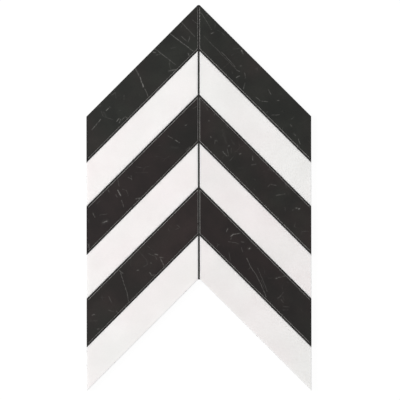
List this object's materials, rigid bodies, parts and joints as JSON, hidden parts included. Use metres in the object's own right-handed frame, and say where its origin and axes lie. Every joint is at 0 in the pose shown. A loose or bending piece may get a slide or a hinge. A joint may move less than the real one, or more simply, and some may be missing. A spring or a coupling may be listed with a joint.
{
  "type": "chevron wall tile",
  "caption": "Arrow-shaped sheet of mitred black and white marble strips with dark joints, held on a glass net, for wall tiling.",
  "frame": {"origin": "middle of the sheet's outline, on the underside of the net", "axes": "+Z out of the polished face; +Y up the pattern, towards its point; +X across, to the right"},
  "size_m": [0.2258, 0.3878, 0.0105],
  "materials": {
    "black_marble": "honed black marble with sparse thin grey veins",
    "white_marble": "honed white marble, almost plain",
    "joint_filler": "dark grey cement joint filler, fine sandy grain",
    "backing_net": "woven glass yarn, stiffened with clear glue"
  },
  "bodies": {
    "root": {"left_strip_1_black": "black_marble", "left_strip_2_white": "white_marble", "left_strip_3_black": "black_marble", "left_strip_4_white": "white_marble", "left_strip_5_black": "black_marble", "left_strip_6_white": "white_marble", "right_strip_1_black": "black_marble", "right_strip_2_white": "white_marble", "right_strip_3_black": "black_marble", "right_strip_4_white": "white_marble", "right_strip_5_black": "black_marble", "right_strip_6_white": "white_marble", "joint_filler": "joint_filler", "backing_net_warp": "backing_net", "backing_net_weft": "backing_net"}
  },
  "joints": []
}
